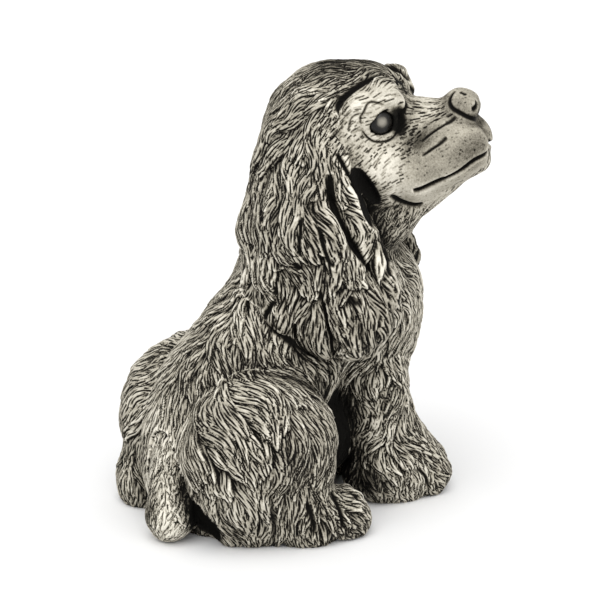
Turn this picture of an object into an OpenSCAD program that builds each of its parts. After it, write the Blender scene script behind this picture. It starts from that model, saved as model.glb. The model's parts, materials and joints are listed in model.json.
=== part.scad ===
// Sitting spaniel figurine, cast in parts and luted together. Millimetres.
// +X is where the chest points, +Y is the dog's left, +Z is up.
// The origin is the middle of its footprint, on the surface that it stands on.

/* [Trunk] */
// How far behind the origin the middle of the rump sits
rump_back = 50; // [44:1:56]
// Width of the rump
rump_w = 114; // [104:1:122]
// How far in front of the origin the middle of the chest sits
chest_forward = 40; // [34:1:44]
// Width of the chest
chest_w = 96; // [88:1:104]
// Height of the middle of the shoulders
shoulder_h = 150; // [142:1:158]
// Height of the top of the neck's core, inside the head
neck_h = 222; // [216:1:228]

/* [Head] */
// Turn of the head towards the dog's right, in degrees
head_turn = 42; // [20:1:60]
// Height of the middle of the skull
head_h = 254; // [248:1:260]
// Length of the skull
skull_l = 84; // [78:1:92]
// Width of the skull
skull_w = 76; // [70:1:84]
// How far the lips reach in front of the middle of the skull
muzzle_reach = 98; // [88:1:106]
// Diameter of each eyeball
eye_d = 19; // [15:1:21]

/* [Ears] */
// How far below the middle of the skull the ears hang
ear_drop = 122; // [100:1:128]
// Distance from the middle of the head to the middle of an ear's lower end
ear_out = 50; // [46:1:54]

/* [Legs and tail] */
// Distance from the middle of the body to a forepaw
forepaw_out = 31; // [29:1:36]
// How far in front of the origin the toes of a forepaw begin
forepaw_forward = 86; // [78:1:92]
// Distance from the middle of the body to a thigh
thigh_out = 42; // [38:1:48]
// Distance from the middle of the body to the toes of a hind paw
hindpaw_out = 64; // [58:1:70]
// Length of the stubby tail
tail_l = 48; // [40:1:56]

/* [Casting] */
// Thickness of the cast wall of the trunk and the head
wall = 6; // [5:0.5:8]
// Thickness of the slab that closes the underside
slab_t = 6; // [4:0.5:8]
// Diameter of the vent hole in the slab
vent_d = 14; // [10:1:18]
// Diameter of the vent between the trunk's hollow and the head's
neck_vent_d = 12; // [8:1:16]

/* [Hidden] */

fur_grey = [0.60, 0.57, 0.50];
face_grey = [0.70, 0.67, 0.60];
ear_grey = [0.48, 0.45, 0.39];
slab_grey = [0.55, 0.53, 0.48];
eye_black = [0.06, 0.05, 0.05];

// Moves the figure so that the origin is the middle of its footprint
centring = [0.69, 1.1, 0];

right = -1;
left = 1;
big = 24;       // facets round the large forms
small = 16;     // facets round locks, lips and paws
margin = 0.05;  // clearance between an eyeball and its socket
below = 60;     // depth of the block that trims everything at the standing face
reach = 400;    // width of that block, wider than the figure

rump = [-rump_back, 0, 52];
rump_r = [52, rump_w / 2, 56];
seat = [-46, 0, 30];
seat_r = [50, 46, 40];
loin = [-38, 0, 80];
shoulders = [20, 0, shoulder_h];
chest = [chest_forward, 0, 130];
chest_r = [48, chest_w / 2, 60];
neck_base = [20, 0, 162];
neck_top = [27, -3, neck_h];
breast_top = [44, 0, 110];
breast_bottom = [48, 0, 80];
belly_back = [-20, 0, 42];
belly_front = [36, 0, 62];

head_centre = [28, -5, head_h];
eye_at = [33, 25, 9];
eye_r = eye_d / 2;
skull = [3, 0, 1];
nape = [-12, 0, -10];
lip_l = 22;
lip = [muzzle_reach - lip_l, 11, -8];

// The columns of an ear from its front fold to its back edge: top, radius, bend, radius, tip, radius
ear_columns = [
    [[12, 35, 2], 9, [30, 44, -62], 9, [42, ear_out - 8, 24 - ear_drop], 5],
    [[6, 30, 6], 10, [17, 46, -58], 12, [36, ear_out - 4, 6 - ear_drop], 10],
    [[0, 28, 8], 12, [2, 48, -60], 16, [22, ear_out, -ear_drop], 12],
    [[-6, 24, 10], 14, [-10, 46, -56], 16, [2, ear_out, -ear_drop], 14],
    [[-12, 22, 10], 14, [-22, 42, -52], 16, [-20, ear_out - 2, 10 - ear_drop], 14],
    [[-24, 20, 0], 16, [-34, 36, -60], 14, [-32, ear_out - 8, 26 - ear_drop], 12]
];
web_r = 8;
web_share = 0.7;

slab_r = 25;
slab_x = -47;
slab_l = 14;

function on_side(place, side) = [place[0], side * place[1], place[2]];

// A rounded limb: one radius at its first end and another at its second
module limb(first, second, first_r, second_r) {
    hull() {
        translate(first) sphere(first_r);
        translate(second) sphere(second_r);
    }
}

// An egg with a radius along each axis
module egg(centre, radii) {
    hull() translate(centre) scale(radii) sphere(1);
}

module placed() {
    translate(centring) children();
}

module in_head() {
    translate(head_centre) rotate([0, 0, -head_turn]) children();
}

module below_ground() {
    translate([-reach / 2, -reach / 2, -below]) cube([reach, reach, below]);
}

// The trunk's solid form, with every surface moved in by inset
module trunk_form(inset = 0) {
    $fn = big;
    skin = [inset, inset, inset];
    egg(rump, rump_r - skin);
    egg(seat, seat_r - skin);
    limb(loin, shoulders, 49 - inset, 42 - inset);
    egg(chest, chest_r - skin);
    limb(neck_base, neck_top, 46 - inset, 36 - inset);
    limb(breast_top, breast_bottom, 36 - inset, 30 - inset);
    limb(belly_back, belly_front, 36 - inset, 30 - inset);
}

module slab_outline(grow = 0) {
    translate([slab_x - slab_l / 2, 0]) circle(slab_r + grow, $fn = 64);
    translate([slab_x + slab_l / 2, 0]) circle(slab_r + grow, $fn = 64);
    translate([slab_x - slab_l / 2, -slab_r - grow]) square([slab_l, 2 * (slab_r + grow)]);
}

// The trunk is hollow down to the top of the slab, which closes its underside
module trunk() {
    color(fur_grey) placed() difference() {
        trunk_form();
        below_ground();
        difference() {
            trunk_form(wall);
            translate([0, 0, slab_t]) below_ground();
        }
        linear_extrude(slab_t) slab_outline();
        translate(neck_top) cylinder(h = reach, d = neck_vent_d, $fn = small);
    }
}

// The skull, brows, cheeks, muzzle and jaw, with every surface moved in by inset
module head_form(inset = 0) {
    $fn = small + 4;
    skin = [inset, inset, inset];
    egg(skull, [skull_l / 2, skull_w / 2, 38] - skin);
    egg(nape, [31, 34, 36] - skin);
    limb([10, 0, -30], [25, 0, -55], 32 - inset, 28 - inset);
    limb([40, 0, 0], [74, 0, 5], 21 - inset, 14 - inset);
    limb([42, 0, -38], [muzzle_reach - 8, 0, -18], 18 - inset, 9 - inset);
    for (side = [right, left]) {
        egg([24, side * 14, -20], [34, 25, 30] - skin);
        egg([lip[0], side * lip[1], lip[2]], [lip_l, 14, 19] - skin);
        limb([55, side * 12, -26], [72, side * 12, -14], 17 - inset, 17 - inset);
    }
}

module brows_and_nose() {
    $fn = small;
    egg([muzzle_reach - 16, 0, 15], [9, 12, 9]);
    for (side = [right, left]) egg([33, side * 19, 20], [17, 13, 10]);
}

module eyeball(side, grow = 0) {
    in_head() translate(on_side(eye_at, side)) sphere(eye_r + grow, $fn = 32);
}

module eye(side) {
    color(eye_black) placed() eyeball(side);
}

module head() {
    color(face_grey) placed() difference() {
        in_head() {
            head_form();
            brows_and_nose();
        }
        trunk_form();
        in_head() head_form(wall);
        eyeball(right, margin);
        eyeball(left, margin);
    }
}

// One hanging column of an ear, from the skull to its bend and on to the tip of its lock
module ear_lock(column, side) {
    limb(on_side(column[0], side), on_side(column[2], side), column[1], column[3]);
    limb(on_side(column[2], side), on_side(column[4], side), column[3], column[5]);
}

// The web between two neighbouring columns, which stops short of their tips
module ear_web(first, second, side) {
    for (step = [0, 1]) {
        hull() for (column = [first, second]) {
            from = step == 0 ? column[0] : column[2];
            to = step == 0 ? column[2] : column[2] + web_share * (column[4] - column[2]);
            translate(on_side(from, side)) sphere(web_r);
            translate(on_side(to, side)) sphere(web_r);
        }
    }
}

module ear_form(side) {
    $fn = small;
    in_head() {
        for (column = ear_columns) ear_lock(column, side);
        for (i = [1:len(ear_columns) - 1]) ear_web(ear_columns[i - 1], ear_columns[i], side);
    }
}

module ear(side) {
    color(ear_grey) placed() difference() {
        ear_form(side);
        in_head() {
            head_form();
            brows_and_nose();
        }
        trunk_form();
        eyeball(side, margin);
    }
}

module foreleg(side) {
    $fn = small;
    color(fur_grey) placed() difference() {
        union() {
            limb([46, side * 24, 92], [52, side * 26, 45], 25, 22);
            limb([56, side * 28, 26], [forepaw_forward, side * forepaw_out, 15], 22, 15);
            limb([50, side * 28, 20], [66, side * 28, 12], 20, 20);
        }
        trunk_form();
        below_ground();
    }
}

module thigh_form(side) {
    $fn = small + 4;
    egg([-48, side * thigh_out, 58], [48, 34, 52]);
    limb([-44, side * 50, 66], [-26, side * 54, 72], 30, 18);
    limb([-26, side * 56, 70], [-28, side * 58, 30], 18, 18);
    if (side == left) limb([-82, 46, 16], [-62, 42, 58], 18, 28);
}

module hind_foot_form(side) {
    $fn = small;
    limb([-62, side * 38, 17], [-20, side * 60, 16], 17, 17);
    limb([-20, side * 60, 16], [5, side * hindpaw_out, 14], 17, 14);
}

module hindleg(side) {
    color(fur_grey) placed() difference() {
        union() {
            thigh_form(side);
            hind_foot_form(side);
        }
        trunk_form();
        below_ground();
    }
}

module tail() {
    $fn = small;
    color(face_grey) placed() difference() {
        limb([-84, -8, tail_l + 12], [-98, -18, 16], 16, 14);
        trunk_form();
        hindleg_forms();
        below_ground();
    }
}

module hindleg_forms() {
    for (side = [right, left]) {
        thigh_form(side);
        hind_foot_form(side);
    }
}

module base_slab() {
    color(slab_grey) placed() difference() {
        linear_extrude(slab_t) slab_outline();
        translate([slab_x, 0, -1]) cylinder(h = slab_t + 2, d = vent_d, $fn = 48);
    }
}

trunk();
head();
ear(right);  // ear_right
ear(left);  // ear_left
foreleg(right);  // foreleg_right
foreleg(left);  // foreleg_left
hindleg(right);  // hindleg_right
hindleg(left);  // hindleg_left
tail();
eye(right);  // eye_right
eye(left);  // eye_left
base_slab();
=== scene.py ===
import json
import math
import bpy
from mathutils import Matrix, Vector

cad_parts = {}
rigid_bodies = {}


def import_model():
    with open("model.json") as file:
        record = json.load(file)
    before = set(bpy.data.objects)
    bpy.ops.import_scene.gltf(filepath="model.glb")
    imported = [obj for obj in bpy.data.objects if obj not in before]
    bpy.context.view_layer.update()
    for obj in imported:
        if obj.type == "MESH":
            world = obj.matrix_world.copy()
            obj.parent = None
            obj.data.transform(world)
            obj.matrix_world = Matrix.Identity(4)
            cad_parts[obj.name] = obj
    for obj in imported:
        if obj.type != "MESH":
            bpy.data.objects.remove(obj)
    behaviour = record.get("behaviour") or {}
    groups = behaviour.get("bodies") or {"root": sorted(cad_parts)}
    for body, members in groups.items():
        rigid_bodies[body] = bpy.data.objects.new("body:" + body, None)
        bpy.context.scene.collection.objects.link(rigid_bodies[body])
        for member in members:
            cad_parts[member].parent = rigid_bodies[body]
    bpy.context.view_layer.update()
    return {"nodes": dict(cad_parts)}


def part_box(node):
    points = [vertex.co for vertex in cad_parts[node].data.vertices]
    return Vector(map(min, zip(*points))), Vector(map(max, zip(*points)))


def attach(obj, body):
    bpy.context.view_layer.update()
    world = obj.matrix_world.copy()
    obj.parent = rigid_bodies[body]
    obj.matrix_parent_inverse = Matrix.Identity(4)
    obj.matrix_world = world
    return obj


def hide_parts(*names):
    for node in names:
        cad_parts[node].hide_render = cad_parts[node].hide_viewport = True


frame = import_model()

from concurrent.futures import ThreadPoolExecutor

import bpy
import numpy as np
import openvdb
from mathutils import Vector

# All shaping is done in millimetres, in the CAD frame, and scaled to metres when a mesh is made.
MM = 0.001
CELL = 1.2   # spacing of the grid that the forms are blended on
COARSE = 4                          # cells of that grid along each side of a coarse block
BLOCK = CELL * COARSE
GRID_EDGE = 4                       # empty cells left round the figure
PIECE_EDGE = 3                      # and round a piece
THREADS = 4
CHUNK = 60000                       # points that one thread works on at a time
SEED = 20
FAR = 1e3

slab_low, slab_high = (np.array(corner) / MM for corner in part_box("base_slab"))
SLAB_X = -47.0                      # where the slab's middle lies, measured from the trunk's middle
CENTRING = np.array([(slab_low[0] + slab_high[0]) / 2 - SLAB_X, (slab_low[1] + slab_high[1]) / 2, 0.0])

HEAD_CENTRE = np.array([28.0, -5.0, 254.0])
HEAD_TURN = math.radians(-42.0)
HEAD_AXES = np.array([
    [math.cos(HEAD_TURN), -math.sin(HEAD_TURN), 0.0],
    [math.sin(HEAD_TURN), math.cos(HEAD_TURN), 0.0],
    [0.0, 0.0, 1.0],
])
BODY_AXES = np.eye(3)
SIDES = {"right": -1, "left": 1}


# ---- forms

def place(point, head=False):
    """A point of the trunk's frame, or of the turned head's, in the CAD frame."""
    point = np.array(point, float)
    return CENTRING + (HEAD_CENTRE + HEAD_AXES @ point if head else point)


def egg(centre, radii, hair, coat, head=False, tilt=0.0):
    """An ellipsoid, tilted nose up by tilt degrees. Its hair grows away from the point hair."""
    lift = math.radians(tilt)
    tilted = np.array([[math.cos(lift), 0, -math.sin(lift)], [0, 1, 0], [math.sin(lift), 0, math.cos(lift)]])
    return {
        "kind": "egg", "centre": place(centre, head), "radii": np.array(radii, float),
        "axes": (HEAD_AXES if head else BODY_AXES) @ tilted, "hair": place(hair, head), "coat": coat,
    }


def hollow(centre, radii, head=False, tilt=0.0):
    """An egg that marks a hollow, and has no hair or coat of its own."""
    return egg(centre, radii, centre, None, head, tilt)


def limb(start, end, start_r, end_r, coat, hair=None, head=False):
    """A rounded cone. Its hair runs from start to end, or grows away from the point hair."""
    return {
        "kind": "limb", "start": place(start, head), "end": place(end, head),
        "radii": (float(start_r), float(end_r)), "coat": coat,
        "hair": None if hair is None else place(hair, head),
    }


def ring(centre, normal, radius, tube):
    """A torus in the head's frame, round the line through centre along normal."""
    normal = HEAD_AXES @ np.array(normal, float)
    return {
        "centre": place(centre, True), "normal": normal / np.linalg.norm(normal),
        "radii": (float(radius), float(tube)),
    }


def side_of(point, side):
    return (point[0], side * point[1], point[2])


def egg_distance(points, form):
    local = (points - form["centre"].astype(points.dtype)) @ form["axes"].astype(points.dtype)
    radii = form["radii"].astype(points.dtype)
    near = np.sqrt(((local / radii) ** 2).sum(1))
    slope = np.sqrt(((local / radii ** 2) ** 2).sum(1))
    return near * (near - 1) / np.maximum(slope, 1e-6)


def limb_distance(points, form):
    kind = points.dtype.type
    start, end = form["start"].astype(kind), form["end"].astype(kind)
    start_r, end_r = form["radii"]
    axis = end - start
    length2 = float(axis @ axis)
    taper = start_r - end_r
    slant2 = kind(length2 - taper * taper)
    offset = points - start
    along = offset @ axis
    beyond = along - kind(length2)
    across2 = (offset * offset).sum(1) * kind(length2 * length2) - along * along * kind(length2)
    across2 = np.maximum(across2, 0)
    bend = kind(math.copysign(taper * taper, taper)) * across2
    side = (np.sqrt(across2 * slant2 / kind(length2)) + along * kind(taper)) / kind(length2) - kind(start_r)
    past_end = np.sign(beyond) * slant2 * beyond * beyond * kind(length2) > bend
    before = ~past_end & (np.sign(along) * slant2 * along * along * kind(length2) < bend)
    to_end = np.sqrt(across2 / kind(length2) ** 2 + beyond * beyond / kind(length2)) - kind(end_r)
    to_start = np.sqrt(across2 / kind(length2) ** 2 + along * along / kind(length2)) - kind(start_r)
    return np.where(past_end, to_end, np.where(before, to_start, side))


def ring_distance(points, form):
    offset = points - form["centre"].astype(points.dtype)
    height = offset @ form["normal"].astype(points.dtype)
    out = np.sqrt(np.maximum((offset * offset).sum(1) - height * height, 0)) - form["radii"][0]
    return np.sqrt(out * out + height * height) - form["radii"][1]


DISTANCE = {"egg": egg_distance, "limb": limb_distance}


def blend_in(first, second, soft):
    """The nearer of two distances, with the corner between them rounded over soft millimetres."""
    near = np.maximum(soft - np.abs(first - second), 0) / soft
    return np.minimum(first, second) - near * near * soft / 4


def carve_out(whole, tool, soft):
    return -blend_in(-whole, tool, soft)


def group_distance(points, forms, soft):
    total = DISTANCE[forms[0]["kind"]](points, forms[0])
    for form in forms[1:]:
        total = blend_in(total, DISTANCE[form["kind"]](points, form), soft)
    return total


# Where hair grows from: it runs away from these points, over whatever form names one.
NAPE = (-30, 0, 212)
THROAT = (34, -4, 262)
CHIN = (70, 0, 10)
FOREHEAD = (54, 0, 44)
NOSE_TIP = (104, 0, 24)
HIP = (-66, 46, 120)

EAR_COLUMNS = [
    # top, radius, bend, radius, tip, radius, from the front fold to the back edge
    ((9, 36, -4), 8, (22, 46, -48), 8, (42, 43, -98), 5),
    ((2, 30, 4), 9, (13, 46, -56), 11, (33, 48, -114), 10),
    ((0, 28, 8), 12, (2, 49, -58), 15, (21, 52, -120), 13),
    ((-6, 24, 10), 14, (-10, 46, -56), 16, (2, 52, -120), 14),
    ((-12, 22, 10), 14, (-20, 42, -52), 16, (-18, 50, -110), 14),
    ((-22, 20, 0), 16, (-32, 36, -62), 15, (-32, 42, -98), 13),
]

# The eyes, in the head's frame, and the lids that are shaped round them.
EYE = (33, 25, 9)
EYE_R = 9.5
EYE_GAP = 0.05
SOCKET_ROOM = 0.6
GAZE = (0.42, 0.86, 0.18)
LID_AHEAD = 4.4                     # how far in front of the middle of the ball the rim's own middle lies
LID_RIM = (9.7, 1.9)                # radius of the rim and of its bead
LID_RIM_BLEND = 4.5
CREASE_R = 12.2                     # the crease under the lower lid: its radius and its stretch in degrees
CREASE = (205, 335, 12)
# The upper lid is a cap over the eyeball: the way from its edge to the open eye, how far
# behind the middle of the ball its edge runs, and its thickness.
LID_WAY = (0.79, 0.0, -0.61)
LID_BACK = 2.6
LID_THICK = 1.9
LID_BLEND = 2.5


def trunk_forms():
    return [
        egg((-49, 0, 51), (51, 55, 55), NAPE, "body"),
        egg((-46, 0, 30), (50, 46, 40), NAPE, "body"),
        limb((-38, 0, 80), (20, 0, 150), 49, 42, "body", NAPE),
        egg((40, 0, 130), (48, 48, 60), THROAT, "chest"),
        limb((20, 0, 162), (27, -3, 222), 46, 36, "body", THROAT),
        limb((42, 0, 110), (43, 0, 80), 35, 29, "chest", THROAT),
        limb((-20, 0, 42), (36, 0, 62), 36, 30, "body", THROAT),
    ]


def head_forms():
    forms = [
        egg((3, 0, 1), (42, 38, 38), FOREHEAD, "crown", True),
        egg((-12, 0, -10), (31, 34, 36), FOREHEAD, "crown", True),
        limb((40, 0, 0), (74, 0, 5), 21, 14, "face", NOSE_TIP, True),
        egg((20, 0, 14), (27, 27, 25), FOREHEAD, "crown", True),
        egg((80, 0, 18), (9, 11, 9), NOSE_TIP, "lip", True),
        limb((42, 0, -38), (92, 0, -18), 18, 9, "face", NOSE_TIP, True),
        limb((38, 0, -54), (70, 0, -31), 16, 11, "throat", CHIN, True),
        limb((10, 0, -30), (25, 0, -55), 32, 28, "throat", CHIN, True),
    ]
    for side in SIDES.values():
        forms += [
            egg(side_of((24, 14, -20), side), (34, 25, 30), NOSE_TIP, "face", True),
            egg(side_of((78, 11, -8), side), (22.5, 14, 19), NOSE_TIP, "lip", True),
            limb(side_of((55, 12, -26), side), side_of((72, 12, -14), side), 17, 17, "lip", NOSE_TIP, True),
            egg(side_of((86, 6, 16), side), (6.5, 6.5, 7), NOSE_TIP, "lip", True),
            limb(side_of((16, 31, 4), side), side_of((22, 28, 19), side), 5, 6.5, "brow", NOSE_TIP, True),
            limb(side_of((22, 28, 19), side), side_of((36, 21, 24), side), 6.5, 8, "brow", NOSE_TIP, True),
            limb(side_of((36, 21, 24), side), side_of((44, 18, 19), side), 8, 5.5, "brow", NOSE_TIP, True),
        ]
    return forms


def ear_forms(side):
    forms = []
    for top, top_r, bend, bend_r, tip, tip_r in EAR_COLUMNS:
        forms.append(limb(side_of(top, side), side_of(bend, side), top_r, bend_r, "ear", head=True))
        forms.append(limb(side_of(bend, side), side_of(tip, side), bend_r, tip_r, "ear", head=True))
    return forms


def foreleg_forms(side):
    forms = [
        limb((43, side * 24, 92), (50, side * 26, 45), 24, 21, "leg"),
        limb((54, side * 27, 58), (82, side * 31, 22), 17, 13, "leg"),
        limb((56, side * 28, 26), (82, side * 31, 18), 22, 15, "paw"),
        limb((50, side * 28, 20), (66, side * 28, 12), 20, 20, "paw", (46, side * 22, 70)),
    ]
    for spread, reach in ((-12, 85), (-4, 92), (5, 91), (13, 84)):
        hair = (60, side * 30 + spread / 2, 30)
        forms.append(egg((reach, side * 31 + spread, 11), (10, 6, 10), hair, "paw"))
    return forms


def hindleg_forms(side):
    hip = side_of(HIP, side)
    forms = [
        egg((-48, side * 42, 58), (48, 34, 52), hip, "body"),
        limb((-44, side * 50, 66), (-26, side * 54, 72), 30, 18, "body", hip),
        limb((-26, side * 56, 70), (-28, side * 58, 30), 18, 18, "leg"),
        limb((-62, side * 38, 17), (-20, side * 60, 16), 17, 17, "leg", (-40, side * 46, 80)),
        limb((-20, side * 60, 16), (0, side * 63, 15), 17, 14, "paw"),
    ]
    if side == SIDES["left"]:
        forms.append(limb((-83, 47, 16), (-62, 41, 54), 19, 25, "body", hip))
    for spread, reach in ((-11, 3), (-3, 8), (5, 8), (12, 2)):
        hair = (-16, side * 62 + spread / 2, 26)
        forms.append(egg((reach, side * 63 + spread, 10), (10, 5.5, 9), hair, "paw"))
    return forms


def tail_forms():
    return [limb((-84, -8, 58), (-99, -17, 17), 17, 15.5, "tail")]


# Each carved piece's forms, and how softly they run into one another.
PIECES = {
    "trunk": (trunk_forms(), 14.0),
    "head": (head_forms(), 7.0),
    "ear_right": (ear_forms(SIDES["right"]), 6.0),
    "ear_left": (ear_forms(SIDES["left"]), 6.0),
    "foreleg_right": (foreleg_forms(SIDES["right"]), 6.0),
    "foreleg_left": (foreleg_forms(SIDES["left"]), 6.0),
    "hindleg_right": (hindleg_forms(SIDES["right"]), 8.0),
    "hindleg_left": (hindleg_forms(SIDES["left"]), 8.0),
    "tail": (tail_forms(), 4.0),
}
NAMES = list(PIECES)
PIECE_BLEND = 4.0


def eye_centre(side):
    return place(side_of(EYE, side), True)


def ear_gap(side):
    """The dark gap between the ear's front fold and the cheek."""
    return hollow(side_of((37, 47, -47), side), (35, 17, 5.8), True, -64)


def cuts():
    """Hollows taken out of the blended figure, each with the softness of its edge."""
    tools = []
    for side in SIDES.values():
        tools += [
            (ear_gap(side), 1.5),
            (hollow(side_of((47, 23, 9), side), (5, 5, 7), True), 2.5),     # the inner corner of the eye
            (hollow(side_of(EYE, side), (EYE_R + SOCKET_ROOM,) * 3, True), 1.5),
        ]
    return tools + [(hollow((-84, -39, 12), (9, 10, 34)), 3.0)]             # between the tail and the foot


def painted_shadows():
    """Painted shadows in the deep hollows and gaps: the hollow, how dark it is and its soft edge."""
    found = [(hollow((-84, -39, 12), (9, 11, 34)), 2.2, 3.0)]
    for side in SIDES.values():
        found += [
            (ear_gap(side), 2.2, 1.2),
            (hollow(side_of((44.5, 22, 11), side), (2, 7, 6.5), True), 1.3, 3.5),
            (hollow(side_of((42, 45, -68), side), (15, 12, 4), True, -70), 1.6, 1.8),
            (hollow(side_of((11, 36, 50), side), (13, 14, 36)), 1.4, 5.0),
        ]
    return found


def lids():
    """The rims of the eyelids, added after the sockets are cut."""
    rims = []
    for side in SIDES.values():
        gaze = np.array(side_of(GAZE, side)) / np.linalg.norm(GAZE)
        rims.append(ring(np.array(side_of(EYE, side)) + gaze * LID_AHEAD, gaze, *LID_RIM))
    return rims


def upper_lids():
    return [(eye_centre(side).astype(np.float32), (HEAD_AXES @ side_of(LID_WAY, side)).astype(np.float32))
            for side in SIDES.values()]


CUTS = cuts()
PAINTED_SHADOWS = painted_shadows()
LIDS = lids()
UPPER_LIDS = upper_lids()

# ---- the blended figure on a grid

def figure_bounds():
    low, high = np.full(3, FAR), np.full(3, -FAR)
    for forms, _ in PIECES.values():
        for form in forms:
            ends = [form["centre"]] if form["kind"] == "egg" else [form["start"], form["end"]]
            reach = max(form["radii"])
            low = np.minimum(low, np.min(ends, axis=0) - reach)
            high = np.maximum(high, np.max(ends, axis=0) + reach)
    low[2] = 0
    return low - GRID_EDGE * CELL, high + GRID_EDGE * CELL


LOW, HIGH = figure_bounds()
SHAPE = np.ceil((HIGH - LOW) / CELL).astype(int) + 1


def blend_points(points):
    """The figure's distance, its two nearest pieces' and which piece is nearest, at some points."""
    nearest = np.full(len(points), FAR, np.float32)
    second = nearest.copy()
    label = np.zeros(len(points), np.int8)
    figure = None
    for number, (forms, soft) in enumerate(PIECES.values()):
        own = group_distance(points, forms, soft)
        figure = own if figure is None else blend_in(figure, own, PIECE_BLEND)
        closer = own < nearest
        second = np.where(closer, nearest, np.minimum(second, own))
        nearest = np.where(closer, own, nearest)
        label[closer] = number
    for tool, soft in CUTS:
        figure = carve_out(figure, egg_distance(points, tool), soft)
    for rim in LIDS:
        figure = blend_in(figure, ring_distance(points, rim), LID_RIM_BLEND)
    for centre, way in UPPER_LIDS:
        offset = points - centre
        cap = np.maximum(np.linalg.norm(offset, axis=1) - EYE_R - LID_THICK, offset @ way + LID_BACK)
        figure = blend_in(figure, cap, LID_BLEND)
    for side in SIDES.values():
        ball = np.linalg.norm(points - eye_centre(side).astype(np.float32), axis=1) - EYE_R
        figure = np.maximum(figure, EYE_GAP - ball)
    return np.maximum(figure, -points[:, 2]), nearest, second, label


def in_threads(work, points):
    """The arrays that work returns for all points, worked out in chunks side by side."""
    starts = range(0, len(points), CHUNK)
    with ThreadPoolExecutor(THREADS) as pool:
        parts = list(pool.map(lambda first: work(points[first:first + CHUNK]), starts))
    return [np.concatenate(arrays) for arrays in zip(*parts)]


def blend_figure():
    """The blended figure on the whole grid, exact near its skin and its splits, and on a coarse grid."""
    coarse = np.ceil(SHAPE / COARSE).astype(int)
    axes = [LOW[i] + BLOCK * (np.arange(coarse[i]) + 0.5) for i in range(3)]
    points = np.stack(np.meshgrid(*axes, indexing="ij"), -1).reshape(-1, 3).astype(np.float32)
    volumes = [array.reshape(coarse) for array in in_threads(blend_points, points)]
    skin = np.abs(volumes[0]) < 1.8 * BLOCK
    splits = (volumes[2] - volumes[1] < 2.5 * BLOCK) & (volumes[0] < BLOCK)
    crop = tuple(slice(0, size) for size in SHAPE)
    grown = []
    for volume in volumes + [skin | splits]:
        for axis in range(3):
            volume = np.repeat(volume, COARSE, axis)
        grown.append(np.ascontiguousarray(volume[crop]))
    found = np.argwhere(grown.pop())
    exact = in_threads(blend_points, (LOW + CELL * found).astype(np.float32))
    for volume, array in zip(grown, exact):
        volume[tuple(found.T)] = array
    return grown, volumes[0]


def sample(volume, points, origin=None, cell=None):
    """The value of a grid at points between its cells."""
    place_in = (points - (LOW if origin is None else origin)) / (cell or CELL)
    top = np.array(volume.shape) - 2
    base = np.clip(np.floor(place_in).astype(int), 0, top)
    part = np.clip(place_in - base, 0, 1)
    flat = volume.reshape(-1)
    step_x, step_y = volume.shape[1] * volume.shape[2], volume.shape[2]
    corner = base[:, 0] * step_x + base[:, 1] * step_y + base[:, 2]
    total = np.zeros(len(points))
    for x in (0, 1):
        for y in (0, 1):
            for z in (0, 1):
                weight = np.abs(1 - x - part[:, 0]) * np.abs(1 - y - part[:, 1]) * np.abs(1 - z - part[:, 2])
                total += weight * flat[corner + x * step_x + y * step_y + z]
    return total


def slope(volume, points, origin=None):
    out = np.empty((len(points), 3))
    for axis in range(3):
        offset = np.zeros(3)
        offset[axis] = CELL
        out[:, axis] = sample(volume, points + offset, origin) - sample(volume, points - offset, origin)
    return out / (2 * CELL)


def unit(vectors):
    return vectors / np.maximum(np.linalg.norm(vectors, axis=-1, keepdims=True), 1e-9)


def piece_volumes(number, figure, nearest, second, label):
    """The grid round one piece: the piece's own distance, the split from its neighbours, the origin."""
    forms, soft = PIECES[NAMES[number]]
    found = np.argwhere(label == number)
    inside = found[figure[tuple(found.T)] < PIECE_EDGE * CELL]
    low = np.maximum(inside.min(0) - PIECE_EDGE, 0)
    high = np.minimum(inside.max(0) + PIECE_EDGE + 1, SHAPE)
    box = tuple(slice(a, b) for a, b in zip(low, high))
    spans = [np.arange(a, b) for a, b in zip(low, high)]
    points = LOW + CELL * np.stack(np.meshgrid(*spans, indexing="ij"), -1)
    shape = points.shape[:3]
    flat = points.reshape(-1, 3).astype(np.float32)
    own = group_distance(flat, forms, soft).reshape(shape)
    other = np.where(label[box] == number, second[box], nearest[box])
    split = (own - other) / 2
    solid = np.maximum(figure[box], split)
    if NAMES[number] == "trunk":
        solid = np.maximum(solid, -slab_recess(flat).reshape(shape))
    return solid.astype(np.float32), split.astype(np.float32), LOW + CELL * low


SLAB_GAP = 0.15                     # room round the slab in its recess
OUTSIDE = 3.0                       # what a grid says beyond its edges


def slab_recess(points):
    """Distance to the recess that the base slab sits in: a round-ended slot under the trunk."""
    radius = (slab_high[1] - slab_low[1]) / 2 + SLAB_GAP
    half = (slab_high[0] - slab_low[0] - (slab_high[1] - slab_low[1])) / 2
    middle = (slab_low + slab_high) / 2
    along = np.maximum(np.abs(points[:, 0] - middle[0]) - half, 0)
    across = np.hypot(along, points[:, 1] - middle[1]) - radius
    return np.maximum(across, points[:, 2] - slab_high[2] - SLAB_GAP)


def surface(volume, origin):
    """The zero surface of a grid as points and four-sided faces."""
    grid = openvdb.FloatGrid(OUTSIDE)
    grid.copyFromArray(np.ascontiguousarray(volume))
    points, triangles, quads = grid.convertToPolygons(0.0, 0.0)
    return origin + CELL * points.astype(float), triangles, quads


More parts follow.
